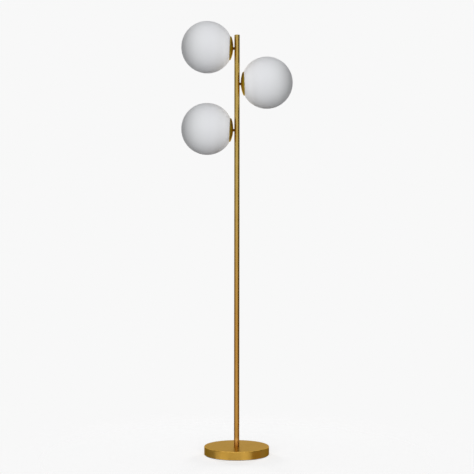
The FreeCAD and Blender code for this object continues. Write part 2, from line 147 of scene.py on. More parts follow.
heads_height = (0, 0, 1.2)
soft_lamp("lamp_left", (-2.2, -7.8, 1.78), heads_height, size=3.2, power=252)
soft_lamp("lamp_right", (1.8, -7.8, 1.78), heads_height, size=3.2, power=268)
soft_lamp("lamp_above", (-0.2, -0.5, 3.9), heads_height, size=1.6, power=8.5)
for label, side in (("left", -1), ("right", 1)):
    soft_lamp("lamp_rear_" + label, (side * 2.1, 3.7, 1.2), (0, 0, 1.1), size=1.2, power=66)


def bare_paint(name):
    """A material with nothing in it yet but its output, and its tree."""
    paint = bpy.data.materials.new(name)
    paint.use_nodes = True
    paint.node_tree.nodes.remove(paint.node_tree.nodes["Principled BSDF"])
    return paint, paint.node_tree


def screen(name, rows, tint):
    """A sheet that only reflections meet, given by two rows of as many corners."""
    mesh = bpy.data.meshes.new(name)
    count = len(rows[0])
    faces = [(index, index + 1, count + index + 1, count + index) for index in range(count - 1)]
    mesh.from_pydata(rows[0] + rows[1], [], faces)
    paint, tree = bare_paint(name)
    glow = result(tree, "ShaderNodeEmission", {"Color": tint, "Strength": 1.0})
    feed(tree, tree.nodes["Material Output"], {"Surface": glow})
    mesh.materials.append(paint)
    sheet = placed_object(name, mesh)
    sheet.visible_camera = False
    sheet.visible_diffuse = False
    sheet.visible_shadow = False


screen_foot, screen_head = -1.5, 3.2
card_near = 0.127
card_length = 1.2
card_lift = 0.0002
card_steps = 8


def floor_card(name, side, start, end, tint):
    """A card on the floor that the base's rim mirrors, between two angles from the rim's front."""
    near, far = [], []
    for step in range(card_steps + 1):
        angle = math.radians(start + (end - start) * step / card_steps)
        x, y = side * card_near * math.sin(angle), -card_near * math.cos(angle)
        across, along = side * card_length * math.sin(2 * angle), card_length * math.cos(2 * angle)
        near.append((x, y, card_lift))
        far.append((x + across, y - along, card_lift))
    screen(name, (near, far), tint)


for name, ends, tint in (
    ("screen_left", ((-2.49, -1.87), (-1.87, 2.49)), (0.40, 0.40, 0.40, 1)),
    ("screen_right", ((2.2, 2.1), (2.2, -2.1)), (0.16, 0.16, 0.16, 1)),
):
    screen(name, [[(x, y, height) for x, y in ends] for height in (screen_foot, screen_head)], tint)
floor_card("card_left", -1, 40, 78, (0.40, 0.39, 0.37, 1))
floor_card("card_pale_left", -1, 16, 31, (1.08, 1.08, 1.08, 1))
floor_card("card_pale_right", 1, 9, 21, (1.12, 1.12, 1.12, 1))
floor_card("card_right", 1, 27, 48, (0.46, 0.35, 0.18, 1))
floor_card("card_far_right", 1, 48, 84, (0.44, 0.40, 0.34, 1))


def mesh_from(former, name):
    """The mesh that a former holds. The former is used up."""
    mesh = bpy.data.meshes.new(name)
    former.to_mesh(mesh)
    former.free()
    return mesh


# The floor is a pale sheet that fades into the wall. It keeps the lamp's soft shadow.
floor_radius = 1.6
floor_level = -0.0003
fade_start, fade_end = 0.22, 1.1
floor_former = bmesh.new()
bmesh.ops.create_circle(floor_former, cap_ends=True, segments=64, radius=floor_radius,
                        matrix=Matrix.Translation((0, 0, floor_level)))
floor = placed_object("floor", mesh_from(floor_former, "floor"))
floor_paint, floor_tree = bare_paint("floor")
floor_glow = result(floor_tree, "ShaderNodeEmission", {"Color": wall_white, "Strength": 0.676})
floor_matt = result(floor_tree, "ShaderNodeBsdfDiffuse", {"Color": (0.62, 0.62, 0.62, 1)})
floor_seen = result(floor_tree, "ShaderNodeAddShader", {0: floor_glow, 1: floor_matt})
floor_dim = result(floor_tree, "ShaderNodeBsdfDiffuse", {"Color": (0.42, 0.42, 0.42, 1)})
floor_kind = result(floor_tree, "ShaderNodeMixShader",
                    {0: seen_directly(floor_tree), 1: floor_dim, 2: floor_seen})
floor_place = node(floor_tree, "ShaderNodeTexCoord").outputs["Object"]
floor_reach = length(floor_tree, floor_place)
floor_fade = spread(floor_tree, floor_reach, fade_start, fade_end, kind="SMOOTHSTEP")
floor_clear = result(floor_tree, "ShaderNodeBsdfTransparent")
floor_whole = result(floor_tree, "ShaderNodeMixShader", {0: floor_fade, 1: floor_kind, 2: floor_clear})
feed(floor_tree, floor_tree.nodes["Material Output"], {"Surface": floor_whole})
floor.data.materials.append(floor_paint)


# Base cover
# A shell spun from 1.2 mm sheet steel, with a small rounded top edge and a turned-in lower hem,
# plated in satin brass. It lies over the weight, and the pole's foot clamps it at the centre.
cover_radius = 125.5
cover_height = 34.0
cover_wall = 1.2
cover_edge = 3.0
cover_foot = 2.5
cover_hole = 6.8
outlet_height = 9.5
outlet_radius = 5.0
outlet_depth = 12.0
mesh_core = 1.0
merge_reach = 0.000002
wall_reach = 0.00004
crease = math.radians(30)


def arc(centre, radius, start, end, steps):
    """Points of an arc in the outline's plane, in millimetres. Angles are from the outward axis."""
    points = []
    for step in range(steps + 1):
        angle = math.radians(start + (end - start) * step / steps)
        points.append((centre[0] + radius * math.cos(angle), centre[1] + radius * math.sin(angle)))
    return points


def geometry_tree(name, inputs, output):
    """A Geometry Nodes tree with its named inputs and output."""
    tree = bpy.data.node_groups.new(name, "GeometryNodeTree")
    for label, kind in inputs:
        tree.interface.new_socket(label, in_out="INPUT", socket_type="NodeSocket" + kind)
    tree.interface.new_socket(output, in_out="OUTPUT", socket_type="NodeSocketGeometry")
    return tree, tree.nodes.new("NodeGroupInput").outputs, tree.nodes.new("NodeGroupOutput")


def from_axis(tree, place):
    """The way from the Z axis to a place as a vector, and its length."""
    flat = result(tree, "ShaderNodeVectorMath", {0: place, 1: (1, 1, 0)}, operation="MULTIPLY")
    return flat, length(tree, flat)


def turning_tree():
    """Geometry Nodes: turns an outline about Z, and waves one of its walls into a screw thread."""
    tree, given, out = geometry_tree("turned_piece", (
        ("Outline", "Geometry"), ("Facets", "Int"), ("Core radius", "Float"), ("Thread radius", "Float"),
        ("Thread depth", "Float"), ("Thread pitch", "Float"), ("Thread start", "Float"),
        ("Thread end", "Float"), ("Material", "Material")), "Piece")
    pitch, start, end = given["Thread pitch"], given["Thread start"], given["Thread end"]
    circle = result(tree, "GeometryNodeCurvePrimitiveCircle",
                    {"Resolution": given["Facets"], "Radius": given["Core radius"]})
    outline = result(tree, "GeometryNodeMeshToCurve", {"Mesh": given["Outline"]})
    swept = result(tree, "GeometryNodeCurveToMesh", {"Curve": circle, "Profile Curve": outline})
    merged = result(tree, "GeometryNodeMergeByDistance", {"Geometry": swept, "Distance": merge_reach})
    place = result(tree, "GeometryNodeInputPosition")
    x, y, z = node(tree, "ShaderNodeSeparateXYZ", {0: place}).outputs
    flat, reach = from_axis(tree, place)
    outward = result(tree, "ShaderNodeVectorMath", {0: flat}, operation="NORMALIZE")
    past_wall = calc(tree, "SUBTRACT", reach, given["Thread radius"])
    on_wall = calc(tree, "COMPARE", past_wall, 0.0, wall_reach)
    phase = calc(tree, "MULTIPLY", calc(tree, "DIVIDE", z, pitch), 2 * math.pi)
    wave = calc(tree, "COSINE", calc(tree, "SUBTRACT", phase, calc(tree, "ARCTAN2", y, x)))
    half = calc(tree, "MULTIPLY", calc(tree, "SUBTRACT", wave, 1.0), 0.5)
    run_in = spread(tree, z, start, calc(tree, "ADD", start, pitch))
    run_out = spread(tree, z, end, calc(tree, "SUBTRACT", end, pitch))
    masked = calc(tree, "MULTIPLY", calc(tree, "MULTIPLY", run_in, run_out), on_wall)
    amount = calc(tree, "MULTIPLY", masked, calc(tree, "MULTIPLY", half, given["Thread depth"]))
    offset = result(tree, "ShaderNodeVectorMath", {0: outward, "Scale": amount}, operation="SCALE")
    moved = result(tree, "GeometryNodeSetPosition", {"Geometry": merged, "Offset": offset})
    real = result(tree, "GeometryNodeRealizeInstances", {"Geometry": moved})
    painted = result(tree, "GeometryNodeSetMaterial", {"Geometry": real, "Material": given["Material"]})
    feed(tree, out, {"Piece": painted})
    return tree


turned_piece = turning_tree()


def settle(piece):
    """Keeps what its modifiers make of a piece, smooth but for creases and facing outwards."""
    made = bpy.data.meshes.new_from_object(piece.evaluated_get(bpy.context.evaluated_depsgraph_get()))
    former = bmesh.new()
    former.from_mesh(made)
    bmesh.ops.recalc_face_normals(former, faces=former.faces)
    former.to_mesh(made)
    former.free()
    made.shade_smooth()
    made.set_sharp_from_angle(angle=crease)
    piece.modifiers.clear()
    piece.data = made


def run_nodes(piece, tree, values):
    """Runs a Geometry Nodes tree with named values on a piece, and keeps the result."""
    run = piece.modifiers.new(tree.name, "NODES")
    run.node_group = tree
    sockets = {item.name: item.identifier for item in tree.interface.items_tree if item.in_out == "INPUT"}
    for label, value in values.items():
        run[sockets[label]] = value
    settle(piece)


def cut_out(piece, former):
    """Takes a closed form out of a piece."""
    cutter = placed_object("cutter", mesh_from(former, "cutter"))
    cut = piece.modifiers.new("cut", "BOOLEAN")
    cut.object = cutter
    cut.solver = "EXACT"
    settle(piece)
    bpy.data.objects.remove(cutter)


def turned(name, outline, material, facets, closed=True, thread=None, place=None):
    """A piece turned about Z from an outline of (radius, height) points in millimetres.

    A closed outline makes a ring. An open one starts and ends on the axis."""
    mesh = bpy.data.meshes.new(name)
    points = [((radius - mesh_core) / 1000, -height / 1000, 0) for radius, height in outline]
    edges = [(index, index + 1) for index in range(len(points) - 1)]
    if closed:
        edges.append((len(points) - 1, 0))
    mesh.from_pydata(points, edges, [])
    piece = placed_object(name, mesh)
    cut = thread or {"radius": 0.0, "depth": 0.0, "pitch": 1.0, "start": 0.0, "end": 0.0}
    run_nodes(piece, turned_piece, {
        "Facets": facets, "Core radius": mesh_core / 1000, "Material": material,
        **{"Thread " + key: value / 1000 for key, value in cut.items()}})
    if place is not None:
        piece.data.transform(place)
    return piece


def finish_as(piece, body, slot, *nodes):
    """The piece rides on its body and stands for its nodes, which it hides. The slot is not used."""
    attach(piece, body)
    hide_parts(*nodes)


def shader_group(name, numbers, output):
    """A shader group that reads a vector and named numbers and puts out one value."""
    tree = bpy.data.node_groups.new(name, "ShaderNodeTree")
    tree.interface.new_socket("Vector", in_out="INPUT", socket_type="NodeSocketVector")
    for label, value in numbers.items():
        number = tree.interface.new_socket(label, in_out="INPUT", socket_type="NodeSocketFloat")
        number.default_value = value
    tree.interface.new_socket(output, in_out="OUTPUT", socket_type="NodeSocketFloat")
    return tree, tree.nodes.new("NodeGroupInput").outputs, tree.nodes.new("NodeGroupOutput")


def cloud_group():
    """Slow, faint changes of tone over a surface, as plating, paint and castings have."""
    tree, given, out = shader_group("cloudy_tone", {"Clouds per metre": 12.0}, "Tone")
    noise = result(tree, "ShaderNodeTexNoise", {
        "Vector": given["Vector"], "Scale": given["Clouds per metre"], "Detail": 3.0, "Roughness": 0.55})
    feed(tree, out, {"Tone": spread(tree, noise, 0.3, 0.7)})
    return tree


def spun_group():
    """Fine rings round the Z axis, as a spinning or polishing tool leaves them."""
    tree, given, out = shader_group("spun_rings", {"Rings per metre": 900.0}, "Rings")
    x, y, z = node(tree, "ShaderNodeSeparateXYZ", {0: given["Vector"]}).outputs
    drift = calc(tree, "MULTIPLY", calc(tree, "SINE", calc(tree, "ARCTAN2", y, x)), 0.0006)
    reach = from_axis(tree, given["Vector"])[1]
    placed = result(tree, "ShaderNodeCombineXYZ", {0: reach, 1: z, 2: drift})
    noise = result(tree, "ShaderNodeTexNoise", {
        "Vector": placed, "Scale": given["Rings per metre"], "Detail": 2.0, "Roughness": 0.6})
    feed(tree, out, {"Rings": noise})
    return tree


def edge_highlight_group():
    """Where a painted highlight lies: 1 on a round edge, at its radius and height, and softly and
    patchily less within its reach.
    """
    tree, given, out = shader_group(
        "painted_edge_highlight", {"Edge radius": 0.1, "Edge height": 0.03, "Reach": 0.003}, "Highlight")
    aside = calc(tree, "SUBTRACT", from_axis(tree, given["Vector"])[1], given["Edge radius"])
    below = calc(tree, "SUBTRACT", coordinate(tree, given["Vector"], "Z"), given["Edge height"])
    away = length(tree, result(tree, "ShaderNodeCombineXYZ", {0: aside, 1: below}))
    near = spread(tree, calc(tree, "DIVIDE", away, given["Reach"]), 1.0, 0.0, kind="SMOOTHSTEP")
    patchy = result(tree, "ShaderNodeTexNoise", {"Vector": given["Vector"], "Scale": 90.0, "Detail": 3.0})
    feed(tree, out, {"Highlight": calc(tree, "MULTIPLY", near, spread(tree, patchy, 0.35, 0.6))})
    return tree


cloudy_tone = cloud_group()
spun_rings = spun_group()
painted_edge_highlight = edge_highlight_group()


def new_material(name, place=None):
    """A material, its tree, its shader, and Object coordinates in the piece's own turned frame."""
    made = bpy.data.materials.new(name)
    made.use_nodes = True
    tree = made.node_tree
    values = {"Vector": node(tree, "ShaderNodeTexCoord").outputs["Object"]}
    if place is not None:
        values.update({"Location": place.to_translation(), "Rotation": place.to_euler()})
    where = result(tree, "ShaderNodeMapping", values, vector_type="TEXTURE")
    return made, tree, tree.nodes["Principled BSDF"], where


def use_group(tree, group, values):
    return result(tree, "ShaderNodeGroup", values, node_tree=group)


def bump(tree, height, strength, distance):
    return result(tree, "ShaderNodeBump", {"Strength": strength, "Distance": distance, "Height": height})


def plated(name, light, deep, roughness, rings, place=None, edge=None, glance=(1, 1, 1, 1), zones=()):
    """Satin plated metal: cloudy tone, fine rings from the tool, and a painted highlight on an edge.

    Glance is the tint of what it reflects at a glancing angle. Each zone is an axis, where a shade
    starts and where it is whole: the colour is multiplied by it, as painted light and shade."""
    made, tree, shader, where = new_material(name, place)
    tone = use_group(tree, cloudy_tone, {"Vector": where, "Clouds per metre": 14.0})
    ring = use_group(tree, spun_rings, {"Vector": where, "Rings per metre": rings})
    colour = blend(tree, tone, deep, light)
    for axis, start, end, shade in zones:
        share = spread(tree, coordinate(tree, where, axis), start, end, kind="SMOOTHSTEP")
        colour = blend(tree, share, colour, shade, blend_type="MULTIPLY")
    # A painted highlight lightens the metal along a round edge.
    if edge:
        highlight = use_group(tree, painted_edge_highlight, {"Vector": where, **edge})
        highlight_colour = tuple(min(1, channel * 1.65 + 0.03) for channel in light[:3]) + (1,)
        colour = blend(tree, highlight, colour, highlight_colour)
    feed(tree, shader, {
        "Base Color": colour, "Metallic": 1, "Specular Tint": glance,
        "Roughness": spread(tree, ring, 0.25, 0.75, roughness - 0.04, roughness + 0.05),
        "Normal": bump(tree, ring, 0.5, 0.00001)})
    return made


# The cover's rounded top edge gets a painted highlight.
cover_brass = plated("cover_brass", (0.545, 0.318, 0.060, 1), (0.500, 0.284, 0.048, 1), 0.30, 1100.0,
                     glance=(0.695, 0.575, 0.355, 1),
                     edge={"Edge radius": (cover_radius - cover_edge * 0.3) / 1000,
                           "Edge height": (cover_height - cover_edge * 0.3) / 1000, "Reach": 0.0030})
cover_outline = (
    [(cover_hole, cover_height - 0.2), (cover_hole + 0.2, cover_height)]
    + [(radius, cover_height) for radius in (20, 50, 80, 105, 118)]
    + arc((cover_radius - cover_edge, cover_height - cover_edge), cover_edge, 90, 0, 12)
    + [(cover_radius, height) for height in (24, 15, 8)]
    + arc((cover_radius - cover_wall / 2, cover_foot + cover_wall / 2), cover_wall / 2, 0, -180, 8)
    + arc((cover_radius - cover_edge, cover_height - cover_edge), cover_edge - cover_wall, 0, 90, 6)
    + [(cover_hole, cover_height - cover_wall)]
)
base_shell = turned("base_shell", cover_outline, cover_brass, facets=224)
outlet_former = bmesh.new()
bmesh.ops.create_cone(
    outlet_former, cap_ends=True, segments=40, depth=outlet_depth / 1000,
    radius1=outlet_radius / 1000, radius2=outlet_radius / 1000,
    matrix=Matrix.Translation((0, cover_radius / 1000, outlet_height / 1000))
    @ Matrix.Rotation(math.radians(90), 4, "X"))
cut_out(base_shell, outlet_former)
finish_as(base_shell, "stand", "antique_brass", "base_cover")


# Foot pad, bottom plate and plate screws
# A 2 mm die-cut disc of grey rubber keeps the base from sliding. Above it a zinc-plated steel
# plate is held to the weight by three countersunk screws with cross recesses.
pad_radius = 122.5
pad_thickness = 2.0
pad_round = 0.5
screw_circle = 85.0
screw_count = 3
screw_foot = 2.0
screw_head = 3.6
screw_radius = 1.99
screw_neck = 3.6
screw_tip = 14.0
screw_pitch = 0.7
recess_size = (0.0040, 0.0009, 0.0028, 1)


def grain_group():
    """Fine even grain, as a moulding, a casting or rubber shows close up. Pits roughen it."""
    tree, given, out = shader_group("fine_grain", {"Grains per metre": 1500.0, "Pits": 0.0}, "Grain")
    noise = result(tree, "ShaderNodeTexNoise", {
        "Vector": given["Vector"], "Scale": given["Grains per metre"], "Detail": 3.0, "Roughness": 0.6})
    cells = result(tree, "ShaderNodeTexVoronoi", {
        "Vector": given["Vector"], "Scale": given["Grains per metre"]})
    feed(tree, out, {"Grain": result(tree, "ShaderNodeMix", {0: given["Pits"], 2: noise, 3: cells})})
    return tree


fine_grain = grain_group()


def moulded(name, light, deep, roughness, grains, depth, pits=0.0, metallic=0.0):
    """A matt or cast material: cloudy tone, and a fine grain that also changes its gloss."""
    made, tree, shader, where = new_material(name)
    tone = use_group(tree, cloudy_tone, {"Vector": where, "Clouds per metre": 30.0})
    grain = use_group(tree, fine_grain, {"Vector": where, "Grains per metre": grains, "Pits": pits})
    feed(tree, shader, {
        "Base Color": blend(tree, tone, deep, light), "Metallic": metallic,
        "Roughness": spread(tree, grain, 0.0, 1.0, roughness - 0.07, roughness + 0.07),
        "Normal": bump(tree, grain, 0.5, depth)})
    return made


def dress(material, *names):
    """Carried-over CAD nodes take a material in their own slots."""
    for name in names:
        mesh = frame["nodes"][name].data
        mesh.materials.clear()
        mesh.materials.append(material)


pad_rubber = moulded("pad_rubber", (0.330, 0.325, 0.315, 1), (0.280, 0.275, 0.265, 1),
                     0.82, 900.0, 0.0001, pits=0.8)
pad_outline = (
    [(0, 0)] + [(radius, 0) for radius in (40, 80, 110)]
    + arc((pad_radius - pad_round, pad_round), pad_round, -90, 0, 4)
    + arc((pad_radius - pad_round, pad_thickness - pad_round), pad_round, 0, 90, 4)
    + [(60, pad_thickness), (0, pad_thickness)]
)
finish_as(turned("rubber_pad", pad_outline, pad_rubber, facets=160, closed=False),
          "stand", "pad_rubber", "foot_pad")


def zinc(name):
    """Zinc-plated steel: cool grey with small spangles, and a faint yellow passivation."""
    made, tree, shader, where = new_material(name)
    tone = use_group(tree, cloudy_tone, {"Vector": where, "Clouds per metre": 70.0})
    cells = result(tree, "ShaderNodeTexVoronoi", {"Vector": where, "Scale": 260.0})
    feed(tree, shader, {
        "Base Color": blend(tree, tone, (0.50, 0.50, 0.50, 1), (0.62, 0.62, 0.60, 1)), "Metallic": 1,
        "Roughness": spread(tree, cells, 0.0, 1.0, 0.26, 0.42), "Normal": bump(tree, cells, 0.15, 0.00003)})
    return made


zinc_steel = zinc("zinc_steel")
dress(zinc_steel, "bottom_plate")


def screw_ring_tree():
    """Geometry Nodes: copies of one screw, evenly spaced on a circle."""
    tree, given, out = geometry_tree("screw_ring", (
        ("Screw", "Geometry"), ("Count", "Int"), ("Circle radius", "Float"), ("First angle", "Float"),
        ("Material", "Material")), "Screws")
    circle = result(tree, "GeometryNodeMeshCircle", {
        "Vertices": given["Count"], "Radius": given["Circle radius"]})
    start = result(tree, "ShaderNodeCombineXYZ", {"Z": given["First angle"]})
    turned_circle = result(tree, "GeometryNodeTransform", {"Geometry": circle, "Rotation": start})
    copies = result(tree, "GeometryNodeInstanceOnPoints", {
        "Points": turned_circle, "Instance": given["Screw"]})
    real = result(tree, "GeometryNodeRealizeInstances", {"Geometry": copies})
    painted = result(tree, "GeometryNodeSetMaterial", {"Geometry": real, "Material": given["Material"]})
    feed(tree, out, {"Screws": painted})
    return tree


def thread_points(radius, start, end, pitch, steps=8):
    """Evenly spaced points of a straight wall, close enough together to carry a thread."""
    count = max(1, math.ceil(abs(end - start) / pitch * steps))
    return [(radius, start + (end - start) * step / count) for step in range(count + 1)]


screw_outline = (
    [(0, screw_foot), (screw_head - 0.2, screw_foot), (screw_head, screw_foot + 0.1)]
    + [(screw_radius + 0.01, screw_neck - 0.1)]
    + thread_points(screw_radius, screw_neck, screw_tip - 0.8, screw_pitch)
    + [(1.2, screw_tip), (0, screw_tip)]
)
plate_screw = turned("countersunk_screws", screw_outline, zinc_steel, facets=28, closed=False, thread={
    "radius": screw_radius, "depth": 0.28, "pitch": screw_pitch,
    "start": screw_neck, "end": screw_tip - 0.6})
for turn in (0, 90):
    recess_former = bmesh.new()
    bmesh.ops.create_cube(
        recess_former, size=1, matrix=Matrix.Translation((0, 0, screw_foot / 1000))
        @ Matrix.Rotation(math.radians(turn), 4, "Z") @ Matrix.Diagonal(recess_size))
    cut_out(plate_screw, recess_former)
run_nodes(plate_screw, screw_ring_tree(), {
    "Count": screw_count, "Circle radius": screw_circle / 1000,
    "First angle": math.radians(90 + 180 / screw_count), "Material": zinc_steel})
finish_as(plate_screw, "stand", "zinc_plated_steel", "plate_screws")


# Weight
# A grey iron casting with a sloping top, left as cast: rough and dark, with a few pits.
weight_iron = moulded("weight_iron", (0.115, 0.112, 0.110, 1), (0.060, 0.058, 0.057, 1),
                      0.62, 420.0, 0.0004, pits=0.45, metallic=0.7)
dress(weight_iron, "base_weight")


# Stud, washer and nut
# A hollow threaded steel stud stands in the weight. The washer and nut draw it down from below,
# and the pole screws on above the cover.
stud_radius = 6.6
stud_bore = 4.8
stud_foot = 12.0
stud_top = 60.0
stud_chamfer = 0.5
stud_pitch = 1.5
stud_outline = (
    [(stud_bore, stud_foot), (stud_radius - stud_chamfer, stud_foot)]
    + thread_points(stud_radius, stud_foot + 0.6, stud_top - 0.6, stud_pitch)
    + [(stud_radius - stud_chamfer, stud_top), (stud_bore, stud_top)]
)
finish_as(turned("threaded_stud", stud_outline, zinc_steel, facets=48, thread={
    "radius": stud_radius, "depth": 0.55, "pitch": stud_pitch, "start": stud_foot, "end": stud_top}),
    "stand", "zinc_plated_steel", "base_stud")
dress(zinc_steel, "base_washer", "base_nut")


# Cord outlet, terminal block and leads
# A black moulded bush lines the cover's rear hole. Inside, a white two-way terminal block feeds
# one sleeved lead up the pole to a closed crimp, and a thinner lead runs from there to each head.
outlet_plastic = moulded("outlet_plastic", (0.024, 0.024, 0.025, 1), (0.016, 0.016, 0.017, 1),
                         0.48, 2600.0, 0.00003)
bush_bore = 3.2
bush_radius = 4.8
bush_flange = 5.8
bush_face = 125.408
bush_end = 118.408
flange_face = 124.115
flange_back = flange_face - 1.6
bush_outline = (
    [(bush_bore, bush_end), (bush_radius - 0.2, bush_end), (bush_radius, bush_end + 0.2)]
    + [(bush_radius, flange_back), (bush_flange - 0.2, flange_back), (bush_flange, flange_back + 0.2)]
    + [(bush_flange, flange_face), (bush_radius, flange_face)]
    + arc((bush_radius - 0.35, bush_face - 0.35), 0.35, 0, 90, 5)
    + arc((bush_bore + 0.5, bush_face - 0.5), 0.5, 90, 180, 5)
)
bush_place = Matrix.Translation((0, 0, outlet_height / 1000)) @ Matrix.Rotation(math.radians(-90), 4, "X")
finish_as(turned("outlet_bush", bush_outline, outlet_plastic, facets=56, place=bush_place),
          "stand", "black_plastic", "cord_grommet")
terminal_plastic = moulded("terminal_plastic", (0.80, 0.80, 0.77, 1), (0.72, 0.72, 0.68, 1),
                           0.42, 1800.0, 0.00004)
dress(terminal_plastic, "terminal_block", "splice_cap")
sleeve_plastic = moulded("sleeve_plastic", (0.78, 0.75, 0.67, 1), (0.70, 0.67, 0.58, 1),
                         0.38, 700.0, 0.00005)
dress(sleeve_plastic, "supply_lead", "upper_lead", "middle_lead", "lower_lead")


# Pole
# Three lengths of drawn steel tube, 20.6 mm across, ground to a satin and plated in brass. They
# butt together on screwed couplers, so only a hairline shows at each joint.
pole_radius = 10.3
pole_bore = 9.1
pole_foot = 34.0
pole_head = 1620.0
pole_ends = tuple(pole_foot + (pole_head - pole_foot) * step / 3 for step in range(4))
tube_chamfer = 0.12
# Painted light and reflection: the brass is made lighter and yellower towards the top of the pole, and
# lighter just above its foot.
pole_brass = plated(
    "pole_brass", (0.520, 0.268, 0.060, 1), (0.475, 0.236, 0.046, 1), 0.27, 700.0,
    glance=(0.29, 0.24, 0.13, 1),
    zones=(("Z", 0.35, 1.25, (1.05, 1.42, 1.80, 1)), ("Z", 0.070, 0.058, (1.58, 1.72, 2.40, 1))))
for label, foot, top in zip(("lower", "middle", "upper"), pole_ends, pole_ends[1:]):
    tube_outline = (
        [(pole_radius - tube_chamfer, foot), (pole_radius, foot + tube_chamfer)]
        + [(pole_radius, foot + (top - foot) * step / 4) for step in (1, 2, 3)]
        + [(pole_radius, top - tube_chamfer), (pole_radius - tube_chamfer, top)]
        + [(pole_bore, top), (pole_bore, foot)]
    )
    finish_as(turned(label + "_tube", tube_outline, pole_brass, facets=96),
              "stand", "antique_brass", label + "_pole")

# Foot bush and couplers: steel sleeves inside the tubes, threaded outside.
sleeve_radius = 9.05
sleeve_neck = 8.7
sleeve_reach = 30.0
sleeve_pitch = 1.5
for name, foot, top, bore, replaced in (
    ("foot_bush", pole_ends[0], pole_ends[0] + sleeve_reach, 6.65, "pole_foot_bush"),
    ("coupler_low", pole_ends[1] - sleeve_reach, pole_ends[1] + sleeve_reach, 6.0, "lower_coupler"),
    ("coupler_high", pole_ends[2] - sleeve_reach, pole_ends[2] + sleeve_reach, 6.0, "upper_coupler"),
):
    sleeve_outline = (
        [(bore, foot), (sleeve_neck, foot)]
        + thread_points(sleeve_radius, foot + 0.5, top - 0.5, sleeve_pitch)
        + [(sleeve_neck, top), (bore, top)]
    )
    finish_as(turned(name, sleeve_outline, zinc_steel, facets=48, thread={
        "radius": sleeve_radius, "depth": 0.5, "pitch": sleeve_pitch, "start": foot, "end": top}),
        "stand", "zinc_plated_steel", replaced)


# Top button
# A turned brass button with a spigot pressed into the tube closes the top of the pole. Its face
# has the faintest crown and a small rounded edge.
button_foot = 1608.0
button_top = 1623.0
button_edge = 0.6
button_crown = 0.1
spigot_radius = 9.05
# Its yellower colour is the same painted light as at the top of the pole, and its edge gets a painted
# highlight.
button_brass = plated(
    "button_brass", (0.545, 0.375, 0.105, 1), (0.500, 0.330, 0.085, 1), 0.25, 1500.0,
    glance=(0.42, 0.35, 0.23, 1), edge={"Edge radius": (pole_radius - 0.2) / 1000,
                                        "Edge height": (button_top - 0.3) / 1000, "Reach": 0.0008})
button_outline = (
    [(0, button_foot), (spigot_radius - 0.45, button_foot), (spigot_radius, button_foot + 0.5)]
    + [(spigot_radius, pole_head), (pole_radius - tube_chamfer, pole_head)]
    + [(pole_radius, pole_head + tube_chamfer)]
    + arc((pole_radius - button_edge, button_top - button_crown - button_edge), button_edge, 0, 90, 6)
    + [(6, button_top - 0.05), (0, button_top)]
)
finish_as(turned("top_button", button_outline, button_brass, facets=96, closed=False),
          "stand", "antique_brass", "pole_finial")


# Arm blocks and stubs
# Behind each head a turned plug sits in the tube, and a short hollow stub screws into it. The
# stub is darkened brass, with a plain neck against the pole and a fine thread for the head.
globe_centre = 115.5
stub_back = 5.6
neck_back = 8.4
neck_front = 14.3
stub_front = 32.0
neck_radius = 5.25
neck_round = 0.4
stub_radius = 4.0
stub_bore = 2.6
stub_pitch = 1.0
heads = {}
for joint in frame["joints"]:
    if joint["name"].endswith("_globe_turn"):
        outward = Vector(joint["axis"]).to_track_quat("Z", "Y").to_matrix().to_4x4()
        heads[joint["name"].split("_")[0]] = Matrix.Translation(Vector(joint["pos_m"])) @ outward
dress(zinc_steel, "upper_arm_block", "middle_arm_block", "lower_arm_block")
stub_outline = (
    [(stub_bore, stub_back), (stub_radius - 0.3, stub_back), (stub_radius, stub_back + 0.3)]
    + [(stub_radius, neck_back), (neck_radius, neck_back), (neck_radius, 10.6)]
    + [(neck_radius, neck_front - neck_round)]
    + arc((neck_radius - neck_round, neck_front - neck_round), neck_round, 0, 90, 3)
    + thread_points(stub_radius, neck_front + 0.1, stub_front - 0.4, stub_pitch)
    + [(stub_radius - 0.4, stub_front), (stub_bore, stub_front)]
)
stub_outline = [(radius, distance - globe_centre) for radius, distance in stub_outline]
for head, place in heads.items():
    stub_brass = plated(
        head + "_stub_brass", (0.135, 0.066, 0.018, 1), (0.100, 0.048, 0.012, 1), 0.34, 2500.0, place)
    finish_as(turned(head + "_stub", stub_outline, stub_brass, facets=48, place=place, thread={
        "radius": stub_radius, "depth": 0.35, "pitch": stub_pitch,
        "start": neck_front - globe_centre, "end": stub_front - globe_centre}),
        "stand", "dark_brass", head + "_arm_stub")


# Caps
# Shallow bowls spun from 0.9 mm brass sheet: a low dome, a round shoulder and a small rolled bead
# at the rim. They are clamped between the stub's neck and the fitter, and cover the globe's mouth.
cap_back = neck_front - globe_centre
cap_depth = 14.0
cap_rim = 46.0
cap_dome = 118.0
cap_wall = 0.9
cap_hole = 4.1
cap_bead = 0.55
dome_centre = cap_back + cap_dome
rim_level = cap_back + cap_depth - cap_bead
dome_rise = dome_centre - rim_level
shoulder = (cap_dome ** 2 - dome_rise ** 2 - cap_rim ** 2) / (2 * (cap_dome - cap_rim))
shoulder_lean = math.degrees(math.atan2(dome_rise, cap_rim - shoulder))


def dome_point(ball, radius):
    """The point at this radius of a ball about the centre of the cap's dome."""
    return (radius, dome_centre - math.sqrt(ball ** 2 - radius ** 2))


def dome_run(ball, start, end, steps):
    return [dome_point(ball, start + (end - start) * step / steps) for step in range(steps + 1)]


def dome_end(ball):
    """The radius at which the dome passes into the round shoulder."""
    return ball * math.cos(math.radians(shoulder_lean))


